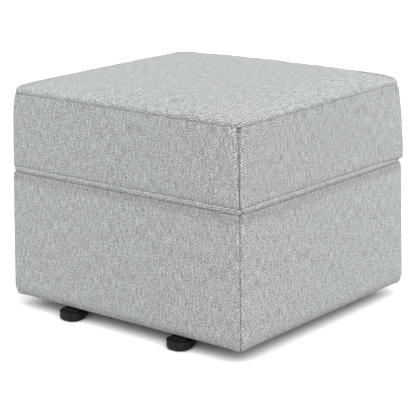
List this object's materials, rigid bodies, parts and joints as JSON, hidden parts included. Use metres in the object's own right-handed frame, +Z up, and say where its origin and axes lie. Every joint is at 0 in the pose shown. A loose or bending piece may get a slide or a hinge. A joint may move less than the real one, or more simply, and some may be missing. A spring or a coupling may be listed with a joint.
{
  "type": "glider ottoman",
  "caption": "Upholstered footstool with a piped cushion, hung on swing arms from a hidden steel base, that glides forwards and back on toe-capped rails.",
  "frame": {"origin": "on the floor under the middle of the box, at rest", "axes": "+Z up, +X to the right along the long face, -Y out of the long front face; it glides along Y"},
  "size_m": [0.57, 0.562, 0.4571],
  "materials": {
    "upholstery": "heathered twill weave",
    "lining_cloth": "matte non-woven cloth",
    "foam": "open-cell polyurethane foam",
    "plywood": "unfinished",
    "beech": "planed, unfinished",
    "black_steel": "black powder coat, satin",
    "zinc_steel": "zinc plated",
    "bush_nylon": "natural nylon",
    "foot_plastic": "moulded, fine grain"
  },
  "bodies": {
    "base": {"base_rail_left": "black_steel", "base_rail_right": "black_steel", "lower_cross_tube_front": "black_steel", "lower_cross_tube_rear": "black_steel", "upper_cross_tube": "black_steel", "side_plate_left": "black_steel", "side_plate_right": "black_steel", "foot_front_left": "foot_plastic", "foot_front_right": "foot_plastic", "foot_rear_left": "foot_plastic", "foot_rear_right": "foot_plastic", "foot_screws": "zinc_steel", "upper_pivot_bolts": "zinc_steel", "upper_spacers": "zinc_steel", "upper_lock_nuts": "zinc_steel"},
    "arm_front_left": {"swing_arm_front_left": "black_steel", "arm_bushes_front_left": "bush_nylon"},
    "arm_front_right": {"swing_arm_front_right": "black_steel", "arm_bushes_front_right": "bush_nylon"},
    "arm_rear_left": {"swing_arm_rear_left": "black_steel", "arm_bushes_rear_left": "bush_nylon"},
    "arm_rear_right": {"swing_arm_rear_right": "black_steel", "arm_bushes_rear_right": "bush_nylon"},
    "seat_box": {"hanger_front_left": "black_steel", "hanger_front_right": "black_steel", "hanger_rear_left": "black_steel", "hanger_rear_right": "black_steel", "lower_pivot_bolts": "zinc_steel", "lower_spacers": "zinc_steel", "lower_lock_nuts": "zinc_steel", "hanger_bolts": "zinc_steel", "hanger_nuts": "zinc_steel", "deck_screws": "zinc_steel", "mounting_screws": "zinc_steel", "front_board": "plywood", "rear_board": "plywood", "left_board": "plywood", "right_board": "plywood", "seat_deck": "plywood", "mounting_rail_left": "beech", "mounting_rail_right": "beech", "corner_blocks": "beech", "dust_cover": "lining_cloth", "box_cover_front": "upholstery", "box_cover_rear": "upholstery", "box_cover_left": "upholstery", "box_cover_right": "upholstery", "boxing_front": "upholstery", "boxing_rear": "upholstery", "boxing_left": "upholstery", "boxing_right": "upholstery", "top_panel": "upholstery", "bottom_welt": "upholstery", "top_welt": "upholstery", "box_padding_front": "foam", "box_padding_rear": "foam", "box_padding_left": "foam", "box_padding_right": "foam", "seat_foam": "foam"}
  },
  "joints": [
    {"name": "glide", "type": "hinge", "parent": "base", "child": "arm_front_left", "pos_m": [-0.1315, -0.085, 0.175], "axis": [1, 0, 0], "range_deg": [-22, 22]},
    {"name": "box_level", "type": "hinge", "parent": "arm_front_left", "child": "seat_box", "pos_m": [-0.1315, -0.085, 0.05], "axis": [1, 0, 0], "range_deg": [-22, 22]},
    {"name": "arm_front_right_swing", "type": "hinge", "parent": "base", "child": "arm_front_right", "pos_m": [0.1315, -0.085, 0.175], "axis": [1, 0, 0], "range_deg": [-22, 22]},
    {"name": "arm_rear_left_swing", "type": "hinge", "parent": "base", "child": "arm_rear_left", "pos_m": [-0.1315, 0.085, 0.175], "axis": [1, 0, 0], "range_deg": [-22, 22]},
    {"name": "arm_rear_right_swing", "type": "hinge", "parent": "base", "child": "arm_rear_right", "pos_m": [0.1315, 0.085, 0.175], "axis": [1, 0, 0], "range_deg": [-22, 22]}
  ],
  "couplings": [
    {"joint": "box_level", "follows": "glide", "ratio": -1},
    {"joint": "arm_front_right_swing", "follows": "glide", "ratio": 1},
    {"joint": "arm_rear_left_swing", "follows": "glide", "ratio": 1},
    {"joint": "arm_rear_right_swing", "follows": "glide", "ratio": 1}
  ]
}
